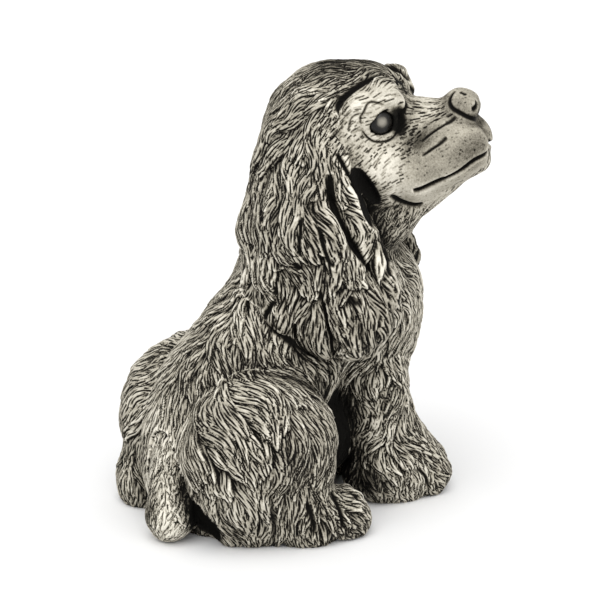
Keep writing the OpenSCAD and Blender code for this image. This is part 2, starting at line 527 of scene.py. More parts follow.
def settle(points, figure, split, origin):
    """Moves points on the skin exactly onto it, and those in the corner of a seam onto the seam."""
    for _ in range(3):
        skin = sample(figure, points)
        apart = sample(split, points, origin)
        near = np.abs(skin) < 0.7 * CELL
        seam = near & (np.abs(apart) < 0.9 * CELL) & (apart < -0.04 * CELL) & (skin < -0.04 * CELL)
        out = near & ~seam
        step = unit(slope(figure, points[out])) * skin[out, None]
        points[out] -= np.clip(step, -0.5 * CELL, 0.5 * CELL)
        if seam.any():
            first, second = slope(figure, points[seam]), slope(split, points[seam], origin)
            aa, ab, bb = (first ** 2).sum(1), (first * second).sum(1), (second ** 2).sum(1)
            even = np.maximum(aa * bb - ab * ab, 0.05)
            to_first = (bb * skin[seam] - ab * apart[seam]) / even
            to_second = (aa * apart[seam] - ab * skin[seam]) / even
            step = to_first[:, None] * first + to_second[:, None] * second
            points[seam] -= np.clip(step, -0.6 * CELL, 0.6 * CELL)
    return points


# ---- which way the hair lies

# Eggs of the head's that only say which coat covers a place, and add nothing to the figure.
PAINTED = [
    ((17, 32, -2), (14, 11, 18), NOSE_TIP, "face"),
    ((28, 34, -20), (14, 12, 14), NOSE_TIP, "face"),
    ((39, 19, 33), (13, 10, 6), FOREHEAD, "crown"),
]
FORMS = [form for forms, _ in PIECES.values() for form in forms] + [
    egg(side_of(centre, side), radii, hair, coat, True)
    for centre, radii, hair, coat in PAINTED for side in SIDES.values()
]
COAT_NAMES = sorted({form["coat"] for form in FORMS})
FORM_COATS = np.array([COAT_NAMES.index(form["coat"]) for form in FORMS])
FLOW_SOFT = 5.0        # how far one form's hair direction fades into the next one's
SWIRLS = [((0.11, 0.05, -0.07), 0.3), ((-0.06, 0.13, 0.09), 1.9), ((0.17, -0.12, 0.15), 4.4)]

# How light each coat is left when the wash is wiped off.
SHADES = {
    "body": 0.52, "chest": 0.68, "leg": 0.52, "paw": 0.56, "ear": 0.45, "crown": 0.38, "throat": 0.62,
    "face": 1.05, "lip": 0.5, "brow": 1.2, "tail": 1.15,
}
FORM_SHADES = np.array([SHADES[form["coat"]] for form in FORMS])
SMOOTH_COATS = ("face", "lip", "brow")
FORM_HAIRY = np.array([form["coat"] not in SMOOTH_COATS for form in FORMS], float)
# Where the coat's relief starts and how soon it is full: by the share of hairy forms that are
# felt, and by millimetres from the middle of an eye. Near a cut, both are in the fade's widths.
HAIRY_FROM, HAIRY_FADE = 0.35, 0.3
EYE_CLEAR, EYE_FADE = 12.5, 2.5
CUT_CLEAR, CUT_FADE = 0.6, 1.2

# Where the hair changes course: a point of the dog's right side and the way the hair runs there.
COURSES = [
    # back and rump
    (-81, -4, 104, -0.6, -0.1, -0.8), (-53, -2, 134, -0.6, -0.3, -0.7), (-65, -2, 122, -0.6, -0.3, -0.7),
    (-93, -36, 70, -0.3, -0.5, -0.8), (-96, -44, 38, -0.1, -0.2, -1.0), (-97, 0, 74, -0.3, -0.2, -0.9),
    (-100, 0, 43, 0.0, 0.0, -1.0), (-86, -34, 90, -0.2, -0.9, -0.4), (-92, -55, 59, 0.2, -0.3, -0.9),
    # haunch
    (-60, -34, 115, 0.1, -0.9, -0.4), (-33, -42, 108, 0.9, -0.3, -0.3), (-3, -38, 89, 0.6, 0.2, -0.7),
    (-47, -58, 102, 0.7, -0.5, -0.5), (-63, -60, 95, 0.4, -0.7, -0.6), (-74, -64, 80, 0.6, -0.6, -0.5),
    (-83, -63, 64, 0.5, -0.5, -0.7), (-34, -68, 91, 0.5, -0.5, -0.7), (-18, -70, 77, -0.4, -0.3, -0.9),
    # hind leg and foot
    (-42, -79, 65, -0.5, 0.0, -0.8), (-60, -75, 55, 0.0, 0.0, -1.0), (-18, -74, 42, 0.2, -0.1, -1.0),
    (-73, -62, 28, 0.2, 0.2, -0.9), (-60, -68, 28, 0.5, 0.2, -0.8), (-41, -71, 24, 0.1, 0.1, -1.0),
    (-5, -75, 25, 0.8, -0.1, -0.6), (-12, -77, 14, 0.2, 0.1, -1.0),
    # foreleg and paw
    (45, -48, 78, -0.1, 0.0, -1.0), (36, -42, 52, 0.0, 0.1, -1.0), (60, -48, 45, 0.3, 0.0, -1.0),
    (88, -42, 23, 0.7, -0.1, -0.7), (41, -45, 25, -0.1, 0.0, -1.0), (66, -48, 19, 0.4, 0.1, -0.9),
    # chest and shoulder
    (-12, -46, 109, 0.2, 0.0, -1.0), (31, -42, 100, -0.5, 0.3, -0.8), (17, -36, 95, -0.2, 0.3, -0.9),
    (59, -40, 154, 0.7, 0.1, -0.7), (50, -46, 119, -0.6, -0.1, -0.7), (-40, -19, 141, -0.2, -0.7, -0.7),
    (-34, -33, 132, 0.1, -0.6, -0.8), (-26, -44, 114, 0.5, -0.3, -0.8), (-56, -35, 115, 0.0, -0.8, -0.5),
]
COURSE_REACH = 17.0    # how far one of them is felt
COURSE_PULL = 2.5
COMBED_AWAY = ("ear", "crown", "face", "lip", "brow", "throat")     # coats that the courses leave alone


def form_weights(points):
    """How strongly each form is felt at some points, and the coat of the nearest form."""
    points = points.astype(np.float32)
    distances = np.stack([DISTANCE[form["kind"]](points, form) for form in FORMS])
    weights = np.exp(-(distances - distances.min(0)) / FLOW_SOFT)
    return weights / weights.sum(0), FORM_COATS[distances.argmin(0)]


def coats_and_shades(points):
    """The coat and shade at some points, and how much of the hair's relief they take."""
    weights, coats = form_weights(points)
    relief = np.clip((FORM_HAIRY @ weights - HAIRY_FROM) / HAIRY_FADE, 0, 1)
    for side in SIDES.values():
        clear = np.linalg.norm(points - eye_centre(side), axis=1)
        relief *= np.clip((clear - EYE_CLEAR) / EYE_FADE, 0, 1)
    for tool, _ in CUTS:
        relief *= np.clip(egg_distance(points, tool) / CUT_FADE - CUT_CLEAR, 0, 1)
    shades = FORM_SHADES @ weights
    # painted shadow in the deep hollows and gaps, taken off each coat's lightness
    for pool, depth, edge in PAINTED_SHADOWS:
        shades -= depth * np.clip(1 - egg_distance(points, pool) / edge, 0, 1)
    return coats, shades, relief


def hair_flow(points, normals, waviness):
    """The hair's direction along the skin at some points."""
    weights, coats = form_weights(points)
    flow = np.zeros((len(points), 3))
    for number, form in enumerate(FORMS):
        if form["hair"] is None:
            way = np.broadcast_to(unit(form["end"] - form["start"]), points.shape)
        else:
            way = unit(points - form["hair"])
        flow += weights[number, :, None] * way
    combed = ~np.isin(coats, [COAT_NAMES.index(name) for name in COMBED_AWAY])
    for course in COURSES:
        for side in SIDES.values():
            near = ((points - place(side_of(course[:3], -side))) ** 2).sum(1)
            pull = COURSE_PULL * combed * np.exp(-near / COURSE_REACH ** 2)
            flow += pull[:, None] * np.array(side_of(course[3:], -side))
    flow -= normals * (flow * normals).sum(1, keepdims=True)
    flow = unit(flow)
    turn = sum(np.sin(points @ np.array(wave) + phase) for wave, phase in SWIRLS) * waviness
    across = np.cross(normals, flow)
    return flow * np.cos(turn)[:, None] + across * np.sin(turn)[:, None]


# ---- carving the coat

STRIDES = 7            # straight stretches that a lock's curved spine is made of

# Tufts: length, spacing between roots, height of the highest, swell. Locks: half width, height,
# strand width, groove depth, spacing between roots. Both: waviness, how far a tuft gathers its
# locks towards its tip.
COATS = {
    "body": ((30, 52), 12.0, 2.4, 1.6, (2.6, 4.4), 1.0, 1.85, 0.8, 4.4, 0.26, 0.75),
    "chest": ((22, 38), 10.0, 2.4, 1.5, (2.2, 3.8), 1.0, 1.75, 0.8, 4.2, 0.3, 0.75),
    "leg": ((20, 34), 9.5, 2.2, 1.3, (2.0, 3.6), 0.9, 1.75, 0.8, 4.0, 0.28, 0.65),
    "paw": ((14, 24), 8.0, 1.2, 0.5, (1.8, 3.2), 0.7, 1.7, 0.75, 3.6, 0.12, 0.55),
    "ear": ((32, 54), 12.0, 2.6, 2.4, (2.8, 5.0), 1.3, 2.0, 0.9, 4.6, 0.3, 0.85),
    "crown": ((26, 44), 11.0, 1.6, 1.0, (2.2, 3.8), 0.9, 1.8, 0.75, 4.0, 0.22, 0.7),
    "throat": ((12, 20), 9.0, 0.6, 0.2, (1.5, 2.4), 0.4, 1.6, 0.45, 3.4, 0.12, 0.4),
    "tail": ((10, 18), 9.0, 0.3, 0.1, (1.5, 2.4), 0.3, 1.5, 0.4, 3.2, 0.06, 0.3),
}

# Edges where the tips of one tier of tufts overhang the next, as paths in the head's frame or the trunk's.
TIERS = [
    (True, [(-28, 58, -77), (-15, 60, -79), (-4, 63, -73), (7, 63, -79), (15, 61, -76)]),
    (True, [(-24, 60, -96), (-10, 61, -98), (3, 62, -97), (12, 62, -100), (20, 61, -94), (29, 56, -96)]),
    (False, [(-39, 76, 80), (-51, 77, 78), (-59, 76, 72), (-65, 75, 64), (-72, 71, 54), (-81, 65, 46),
             (-90, 56, 43)]),
]
TIER_REACH = 13.0      # tufts that end this near to a tier's edge are brought to it
TIER_LEVEL = 2.6       # and raised by this much
TIER_RAGGED = 2.5      # how far their tips stray from the edge
SHORTEST = 14.0
GATHER_REACH = 9.0     # a lock that strays this far from its tuft's guide is gathered less

# Short scratches: length, half width, depth, spacing, darkness.
TICKS = {
    "face": ((2.0, 5.5), 0.42, 0.45, 2.5, 0.85),
    "lip": ((0.8, 1.8), 0.4, 0.1, 3.6, 0.45),
    "brow": ((3.5, 9.0), 0.45, 0.35, 3.6, 0.9),
}


class Skin:
    """Every vertex of the skin, sorted into cells so that a lock finds the ones it covers."""

    cell = 5.0

    def __init__(self, points, normals):
        self.points, self.normals = points.astype(np.float32), normals.astype(np.float32)
        place_in = np.floor((points - LOW) / self.cell).astype(int)
        self.size = place_in.max(0) + 3
        key = self.key(place_in)
        self.order = np.argsort(key, kind="stable")
        self.starts = np.searchsorted(key[self.order], np.arange(self.size.prod() + 1))
        steps = np.stack(np.meshgrid(*[(-1, 0, 1)] * 3, indexing="ij"), -1).reshape(-1, 3)
        self.around = (steps[:, 0] * self.size[1] + steps[:, 1]) * self.size[2] + steps[:, 2]

    def key(self, place_in):
        return (place_in[..., 0] * self.size[1] + place_in[..., 1]) * self.size[2] + place_in[..., 2]

    def near(self, path):
        """The vertices within a cell's width of a chain of points that are less than a cell apart."""
        place_in = np.clip(np.floor((path - LOW) / self.cell).astype(int), 1, self.size - 2)
        cells = np.unique((self.key(place_in)[:, None] + self.around).ravel())
        starts = self.starts[cells]
        counts = self.starts[cells + 1] - starts
        full = counts > 0
        starts, counts = starts[full], counts[full]
        if not len(starts):
            return np.zeros(0, int)
        offsets = np.repeat(starts - np.concatenate([[0], counts.cumsum()[:-1]]), counts)
        return self.order[offsets + np.arange(counts.sum())]


def pick_roots(skin, allowed, spacing, rng):
    """One random vertex of those allowed in each cell that is spacing millimetres wide."""
    chosen = rng.permutation(np.flatnonzero(allowed))
    cells = np.floor(skin.points[chosen] / spacing).astype(int) + 1000
    key = (cells[:, 0] * 4000 + cells[:, 1]) * 4000 + cells[:, 2]
    _, first = np.unique(key, return_index=True)
    return rng.permutation(chosen[first])


def on_to_skin(points, figure):
    return points - unit(slope(figure, points)) * np.clip(sample(figure, points), -3, 3)[:, None]


def trace(points, figure, lengths, waviness):
    """Spines that follow the hair along the skin, as chains of points."""
    spine = [points.copy()]
    for _ in range(STRIDES):
        here = spine[-1]
        way = hair_flow(here, unit(slope(figure, here)), waviness)
        spine.append(on_to_skin(here + way * (lengths / STRIDES)[:, None], figure))
    return np.stack(spine, 1)


def gather(spines, lengths, guides, guide_lengths, mine, pull):
    """Bends each spine towards the tip of its guide."""
    share = np.arange(STRIDES + 1) / STRIDES
    place_in = np.clip(share[None] * (lengths / guide_lengths[mine])[:, None], 0, 1) * STRIDES
    base = np.minimum(place_in.astype(int), STRIDES - 1)
    rows = np.arange(len(spines))[:, None]
    part = (place_in - base)[..., None]
    there = guides[mine][rows, base] * (1 - part) + guides[mine][rows, base + 1] * part
    widest = np.linalg.norm(there - spines, axis=2).max(1, keepdims=True)
    strength = pull * share[None] ** 1.3 * np.clip(2.0 - widest / GATHER_REACH, 0, 1)
    return spines + (there - spines) * strength[..., None]


def nearest_guide(roots, guides, rng):
    roots = roots + rng.uniform(-3, 3, roots.shape)
    starts = guides[:, 0]
    apart = (roots ** 2).sum(1)[:, None] + (starts ** 2).sum(1)[None] - 2 * roots @ starts.T
    return apart.argmin(1)


def tier_paths():
    for head, path in TIERS:
        for side in SIDES.values():
            yield curve_through([place(side_of(point, side), head) for point in path])


def bring_to_tiers(guides, lengths, rng):
    """Changes the lengths of the guides that end near a tier's edge, and says which ones those are."""
    tips = guides[:, -1]
    ways = unit(tips - guides[:, -2])
    at_tier = np.zeros(len(guides), bool)
    for path in tier_paths():
        offset = path[None] - tips[:, None]
        pick = (offset ** 2).sum(2).argmin(1)
        nearest = offset[np.arange(len(tips)), pick]
        close = np.linalg.norm(nearest, axis=1) < TIER_REACH
        change = (nearest * ways).sum(1) + rng.uniform(-TIER_RAGGED, TIER_RAGGED, len(tips))
        lengths = np.where(close, np.maximum(lengths + change, SHORTEST), lengths)
        at_tier |= close
    return lengths, at_tier


def frames_along(spines, figure):
    ways = unit(spines[:, 1:] - spines[:, :-1])
    normals = unit(slope(figure, spines[:, :-1].reshape(-1, 3))).reshape(ways.shape)
    return ways, normals


def over_spine(skin, spine, ways, normals, reach):
    """The vertices near one spine, with how far along it (0 to 1) and across it each one lies."""
    found = skin.near(np.concatenate([spine, (spine[1:] + spine[:-1]) / 2]))
    spine, ways, normals = (part.astype(np.float32) for part in (spine, ways, normals))
    offset = skin.points[found][:, None] - spine[None, :-1]
    stretch = np.linalg.norm(spine[1:] - spine[:-1], axis=1)
    along = (offset * ways).sum(2)
    inside = np.clip(along, 0, stretch)
    rest = offset - inside[..., None] * ways
    pick = (rest * rest).sum(2).argmin(1)
    rows = np.arange(len(found))
    rest, along = rest[rows, pick], along[rows, pick]
    lift = (rest * normals[pick]).sum(1)
    across = (rest * np.cross(normals, ways)[pick]).sum(1)
    facing = (skin.normals[found] * normals[pick]).sum(1)
    share = (pick + along / stretch[pick]) / STRIDES
    keep = (share >= 0) & (share <= 1) & (np.abs(across) < reach) & (np.abs(lift) < 4) & (facing > 0.1)
    return found[keep], share[keep], across[keep]


def grow(skin, figure, coats, layers, rng):
    """Swells the coat into tufts, then lays the locks of each tuft over it, gathered towards its tip."""
    for coat, habit in COATS.items():
        reach, tuft_gap, level, swell = habit[:4]
        spacing, waviness, pull = habit[8:]
        allowed = coats == COAT_NAMES.index(coat)
        roots = pick_roots(skin, allowed, tuft_gap, rng)
        guide_lengths = rng.uniform(*reach, len(roots))
        guides = trace(skin.points[roots], figure, guide_lengths, waviness)
        guide_lengths, at_tier = bring_to_tiers(guides, guide_lengths, rng)
        guides = trace(skin.points[roots], figure, guide_lengths, waviness)
        levels = level * rng.uniform(0, 1, len(roots)) ** 0.8 + TIER_LEVEL * at_tier
        tones = rng.uniform(0, 1, len(roots))
        swell_tufts(skin, figure, layers, guides, tuft_gap * rng.uniform(0.45, 0.7, len(roots)), swell)
        roots = pick_roots(skin, allowed, spacing, rng)
        mine = nearest_guide(skin.points[roots], guides, rng)
        lengths = rng.uniform(0.65, 1.0, len(roots)) * guide_lengths[mine]
        spines = trace(skin.points[roots], figure, lengths, waviness)
        spines = gather(spines, lengths, guides, guide_lengths, mine, pull)
        spines = on_to_skin(spines.reshape(-1, 3), figure).reshape(spines.shape)
        covers = (coats == COAT_NAMES.index("tail")) == (coat == "tail")
        lay_locks(skin, figure, layers, covers, spines, levels[mine], tones[mine], habit[4:8], rng)


def swell_tufts(skin, figure, layers, guides, halves, swell):
    """Raises a rounded swelling under each tuft, highest towards its tip."""
    ways, normals = frames_along(guides, figure)
    for i in range(len(guides)):
        found, share, across = over_spine(skin, guides[i], ways[i], normals[i], halves[i])
        width = halves[i] * np.clip(1.8 * (share + 0.1) ** 0.4 * np.maximum(1 - share, 1e-4) ** 0.45, 0.02, 1)
        crown = np.clip(1 - (across / width) ** 2, 0, 1) ** 0.6
        profile = swell * crown * (0.2 + 0.8 * np.clip(share / 0.75, 0, 1) ** 1.2)
        layers["tuft"][found] = np.maximum(layers["tuft"][found], profile)


def lay_locks(skin, figure, layers, covers, spines, levels, tones, habit, rng):
    """Lays tapering locks, each split into strands by grooves that come and go along it."""
    half, height, strand, groove = habit
    count = len(spines)
    halves = rng.uniform(*half, count)
    heights = height * rng.uniform(0.6, 1.2, count)
    numbers = np.maximum(np.round(2 * halves / strand), 2)
    phases = rng.uniform(0, 2 * math.pi, (count, 3))
    lengths = np.linalg.norm(spines[:, 1:] - spines[:, :-1], axis=2).sum(1)
    ways, normals = frames_along(spines, figure)
    for i in range(count):
        found, share, across = over_spine(skin, spines[i], ways[i], normals[i], halves[i] * 1.15)
        wave = 0.35 * halves[i] * np.sin(share * 5 + phases[i, 0])
        taper = np.clip(1.5 * (share + 0.06) ** 0.35 * np.maximum(1 - share, 1e-4) ** 0.6, 0.01, 1)
        spread = (across - wave) / (halves[i] * taper)
        body = np.clip(share / 0.6, 0, 1) ** 0.9 * np.clip((1 - share) / 0.15, 0, 1) ** 0.5
        crown = np.sqrt(np.maximum(1 - spread ** 2, 0))
        profile = (0.15 + 0.85 * body) * (levels[i] + heights[i] * (0.3 + 0.7 * crown))
        win = (np.abs(spread) < 1) & (profile > layers["lock"][found]) & covers[found]
        found, share, spread, profile, taper = (a[win] for a in (found, share, spread, profile, taper))
        place_in = (spread * 0.5 + 0.5) * numbers[i] + 0.2 * np.sin(share * 7 + phases[i, 1])
        index = np.round(place_in)
        to_groove = np.abs(place_in - index) * 2 * halves[i] * taper / numbers[i]
        come_and_go = 0.55 + 0.7 * np.sin(share * lengths[i] * 0.36 + 2.4 * index + phases[i, 2])
        cut = np.exp(-(to_groove / 0.46) ** 2) * np.clip(come_and_go, 0.1, 1)
        cut = np.maximum(cut, np.clip((np.abs(spread) - 0.75) * 4, 0, 0.9))
        layers["lock"][found] = profile
        layers["cut"][found] = cut
        layers["depth"][found] = groove * cut
        layers["tone"][found] = tones[i]


def tick(skin, figure, coats, layers, rng):
    """Scratches short grooves along the hair where the coat is too short for locks."""
    for coat, (length, half, depth, spacing, dark) in TICKS.items():
        roots = pick_roots(skin, coats == COAT_NAMES.index(coat), spacing, rng)
        count = len(roots)
        spines = trace(skin.points[roots], figure, rng.uniform(*length, count), 0.2)
        ways, normals = frames_along(spines, figure)
        strengths = dark * rng.uniform(0.0, 1.0, count) ** 1.5
        for i in range(count):
            found, share, across = over_spine(skin, spines[i], ways[i], normals[i], 2.5 * half)
            cut = strengths[i] * np.exp(-(across / half) ** 2) * np.clip(8 * share * (1 - share), 0, 1)
            layers["cut"][found] = np.maximum(layers["cut"][found], cut)
            layers["depth"][found] = np.maximum(layers["depth"][found], depth * cut)


# ---- lines carved along listed paths

def score(skin, figure, layers, path, width, depth, cut):
    """Carves a groove along a path laid on the skin, deepest in the middle of its width."""
    for _ in range(2):
        path = on_to_skin(path, figure)
    found = skin.near(path)
    path = path.astype(np.float32)
    offset = skin.points[found][:, None] - path[None, :-1]
    step = path[1:] - path[:-1]
    share = np.clip((offset * step).sum(2) / np.maximum((step * step).sum(1), 1e-6), 0, 1)
    gap = np.sqrt(((offset - share[..., None] * step) ** 2).sum(2))
    pick = gap.argmin(1)
    gap = gap.min(1)
    along = (pick + share[np.arange(len(found)), pick]) / (len(path) - 1)
    fall = np.exp(-(gap / width) ** 2) * np.clip(6 * along * (1 - along), 0, 1) ** 0.5
    layers["line"][found] = np.maximum(layers["line"][found], depth * fall)
    layers["cut"][found] = np.maximum(layers["cut"][found], cut * fall)


def curve_through(points, per_span=6):
    """A smooth path through a few points (Catmull-Rom)."""
    points = [np.array(point, float) for point in points]
    points = [2 * points[0] - points[1]] + points + [2 * points[-1] - points[-2]]
    path = []
    for a, b, c, d in zip(points, points[1:], points[2:], points[3:]):
        for t in np.arange(per_span) / per_span:
            path.append(0.5 * (2 * b + (c - a) * t + (2 * a - 5 * b + 4 * c - d) * t ** 2
                               + (3 * b - a - 3 * c + d) * t ** 3))
    return np.array(path + [points[-2]])


# Grooves in the head's frame: path, width, depth, darkness.
HEAD_LINES = [
    # mouth, wider at its corner, and the crease under the jowl
    ([(57, 27, -34), (64, 27, -32), (73, 26, -28), (84, 24, -21), (93, 19, -13), (98, 9, -9), (100, 4, -7)],
     1.3, 3.0, 1.0),
    ([(56, 27, -34), (62, 27, -33), (69, 27, -30), (77, 26, -26)], 1.8, 3.6, 1.0),
    ([(42, 29, -36), (47, 22, -42), (54, 14, -45), (60, 12, -44)], 1.8, 2.4, 0.9),
    # whisker creases
    ([(60, 22, -3), (67, 21, 3), (73, 19, 7), (80, 14, 11)], 0.8, 0.8, 0.5),
    ([(61, 27, -11), (67, 26, -7), (72, 26, -3), (76, 24, 1)], 0.9, 0.8, 0.5),
    ([(74, 18, 8), (77, 17, 9), (80, 14, 12)], 1.3, 0.8, 0.4),
    ([(71, 26, -4), (74, 25, -1), (76, 24, 1)], 1.3, 0.8, 0.4),
    # nose: its rim and its nostril
    ([(78, 4, 26), (75, 9, 21), (77, 12, 17), (83, 13, 14), (89, 12, 11), (95, 4, 8)], 1.2, 1.2, 0.7),
    ([(92, 5, 21), (92, 8, 18), (89, 11, 16)], 1.4, 2.4, 1.0),
    ([(81, 6, 26), (85, 7, 23)], 1.1, 0.9, 0.5),
    # the crease where the crown's hair overhangs the brow
    ([(8, 35, 14), (12, 31, 24), (21, 24, 31), (31, 16, 33), (41, 15, 31), (46, 19, 26)], 2.4, 2.8, 1.0),
    # the brow's inner end, over the corner of the eye
    ([(50, 12, 26), (50, 17, 20), (48, 20, 12)], 2.2, 1.8, 0.9),
    # folds of the upper lid
    ([(21, 32, 8), (22, 32, 16), (28, 31, 22), (37, 28, 22)], 0.9, 0.9, 0.6),
    ([(16, 34, 4), (18, 34, 12), (23, 32, 18)], 0.8, 0.7, 0.4),
    # the groove behind the ear's front fold
    ([(7, 49, -20), (9, 54, -32), (14, 57, -46), (23, 57, -62), (33, 53, -80)], 2.6, 4.8, 1.0),
    # the upper and lower ends of the gap in front of the fold
    ([(11, 46, -7), (19, 48, -19), (29, 48, -34)], 1.5, 3.0, 1.0),
    ([(42, 47, -66), (44, 47, -76), (45, 47, -84)], 1.6, 2.2, 0.8),
    # slits between its locks
    ([(-6, 61, -46), (-6, 63, -56), (-6, 64, -66)], 0.9, 1.6, 0.8),
    ([(-9, 63, -71), (-6, 63, -76)], 2.0, 1.8, 0.9),
    ([(4, 65, -50), (7, 64, -62), (11, 62, -74)], 1.0, 2.0, 0.8),
    ([(6, 62, -88), (9, 62, -104), (11, 61, -117), (12, 58, -128)], 1.4, 3.0, 1.0),
    ([(-22, 61, -99), (-26, 60, -107), (-30, 59, -114)], 1.6, 2.4, 0.9),
    ([(-11, 60, -111), (-10, 60, -118), (-10, 59, -125)], 1.6, 2.4, 0.9),
    ([(18, 60, -95), (24, 59, -98), (29, 57, -98)], 2.6, 1.2, 0.6),
    # the hollow under its lower edge, darkened as painted shade
    ([(-31, 57, -112), (-23, 60, -121), (-12, 60, -129), (0, 57, -134), (9, 50, -139)], 2.8, 1.4, 0.8),
    ([(9, 50, -139), (18, 45, -140), (29, 38, -136), (38, 40, -126)], 2.8, 1.4, 0.8),
]
# Grooves in the trunk's frame, on the legs.
LEG_LINES = [
    # the split between the foot and the heel
    ([(-59, 76, 48), (-56, 72, 34), (-51, 66, 19), (-48, 60, 4)], 2.2, 1.4, 0.35),
    # between the toes of the hind foot, and beside those of the forepaw
    ([(-34, 75, 35), (-30, 77, 24), (-27, 77, 12)], 1.6, 1.8, 0.8),
    ([(-15, 71, 35), (-11, 77, 24), (-9, 77, 12)], 1.6, 1.8, 0.8),
    ([(1, 69, 27), (8, 74, 20), (12, 73, 11)], 1.4, 1.6, 0.8),
    ([(66, 47, 26), (74, 48, 18), (78, 48, 8)], 1.4, 1.4, 0.7),
]
LIP_SPLIT = [(92, 0, 14), (99, 0, 4), (101, 0, -8)]     # under the nose, in the head's frame


def carve_lines(skin, figure, layers):
    for side in SIDES.values():
        for lines, head in ((HEAD_LINES, True), (LEG_LINES, False)):
            for path, width, depth, cut in lines:
                path = curve_through([place(side_of(point, side), head) for point in path])
                score(skin, figure, layers, path, width, depth, cut)
        # the crease under the lower lid
        gaze = HEAD_AXES @ unit(np.array(side_of(GAZE, side)))
        ahead = unit(HEAD_AXES[:, 0] - gaze * (HEAD_AXES[:, 0] @ gaze))
        up = np.cross(gaze, ahead) * -side
        angles = np.radians(np.arange(*CREASE))[:, None]
        crease = CREASE_R * (np.cos(angles) * ahead + np.sin(angles) * up)
        score(skin, figure, layers, eye_centre(side) + gaze * LID_AHEAD + crease, 0.8, 0.7, 0.6)
    score(skin, figure, layers, curve_through([place(point, True) for point in LIP_SPLIT]), 1.2, 1.4, 1.0)


# ---- from grid to Blender

def select_only(piece):
    for other in bpy.data.objects:
        other.select_set(other == piece)
    bpy.context.view_layer.objects.active = piece


def base_piece(name, points, triangles, quads):
    """A piece's smooth form, with its UV map made before any carving so that its islands stay large."""
    mesh = bpy.data.meshes.new(name)
    faces = [tuple(face) for face in triangles.tolist()] + [tuple(face) for face in quads.tolist()]
    mesh.from_pydata(points.tolist(), [], faces)
    mesh.validate()
    piece = bpy.data.objects.new(name, mesh)
    bpy.context.scene.collection.objects.link(piece)
    mesh.uv_layers.new(name="OFBake")
    select_only(piece)
    bpy.ops.object.mode_set(mode="EDIT")
    bpy.ops.mesh.select_all(action="SELECT")
    bpy.ops.uv.smart_project(angle_limit=1.15, island_margin=0.004)
    bpy.ops.object.mode_set(mode="OBJECT")
    return piece


def subdivide(piece):
    finer = piece.modifiers.new("finer", "SUBSURF")
    finer.subdivision_type = "SIMPLE"
    finer.levels = finer.render_levels = 1
    shaped = piece.evaluated_get(bpy.context.evaluated_depsgraph_get())
    mesh = bpy.data.meshes.new_from_object(shaped)
    piece.modifiers.clear()
    old = piece.data
    piece.data = mesh
    bpy.data.meshes.remove(old)


def coordinates(mesh):
    flat = np.empty(len(mesh.vertices) * 3)
    mesh.vertices.foreach_get("co", flat)
    return flat.reshape(-1, 3)


def edge_ends(mesh):
    flat = np.empty(len(mesh.edges) * 2, np.int32)
    mesh.edges.foreach_get("vertices", flat)
    return flat.reshape(-1, 2)


def soften(values, ends, times):
    """Averages each vertex with its neighbours, times over."""
    count = len(values)
    degree = np.bincount(ends.ravel(), minlength=count)
    for _ in range(times):
        total = np.bincount(ends[:, 0], values[ends[:, 1]], count)
        total = total + np.bincount(ends[:, 1], values[ends[:, 0]], count)
        values = 0.5 * values + 0.5 * total / np.maximum(degree, 1)
    return values


def mark_seams(mesh, figure):
    """Makes the edges between the skin and the hidden faces sharp, so that neither shades the other."""
    count = len(mesh.polygons)
    centres = np.empty(count * 3)
    mesh.polygons.foreach_get("center", centres)
    hidden = sample(figure, centres.reshape(-1, 3)) < -0.09 * CELL
    corners = np.empty(len(mesh.loops), np.int32)
    mesh.loops.foreach_get("edge_index", corners)
    sizes = np.empty(count, np.int32)
    mesh.polygons.foreach_get("loop_total", sizes)
    touch = np.bincount(corners, np.repeat(hidden, sizes), len(mesh.edges))
    sharp = mesh.attributes.new("sharp_edge", "BOOLEAN", "EDGE")
    sharp.data.foreach_set("value", touch == 1)


def store(mesh, name, values):
    mesh.attributes.new(name, "FLOAT", "POINT").data.foreach_set("value", values.astype(np.float32))


def occlusion(figure, points, normals, reach):
    """How much of the air over each point is taken up by the rest of the figure, from 0 to 1, which the
    material paints as shade.
    """
    return np.clip(1 - sample(figure, points + normals * reach) / reach, 0, 1)


ON_SKIN = 0.4          # how near to the skin one of its own vertices lies, in cells
SOLE_FACING = -0.8     # faces that look down more than this
SOLE_TOP = 1.5         # and lie lower than this stay flat, to stand on
NEARBY = ((4.0, 0.4), (9.0, 0.4))                   # how far out the painted occlusion shade is felt, and how much it counts
FAR_REACH, FAR_SHARE, FAR_POWER = 24.0, 0.9, 1.2    # the same for the painted shade of the widest hollows
BLURS = {"near": 12, "wide": 90}                    # passes of averaging that ridges are measured against


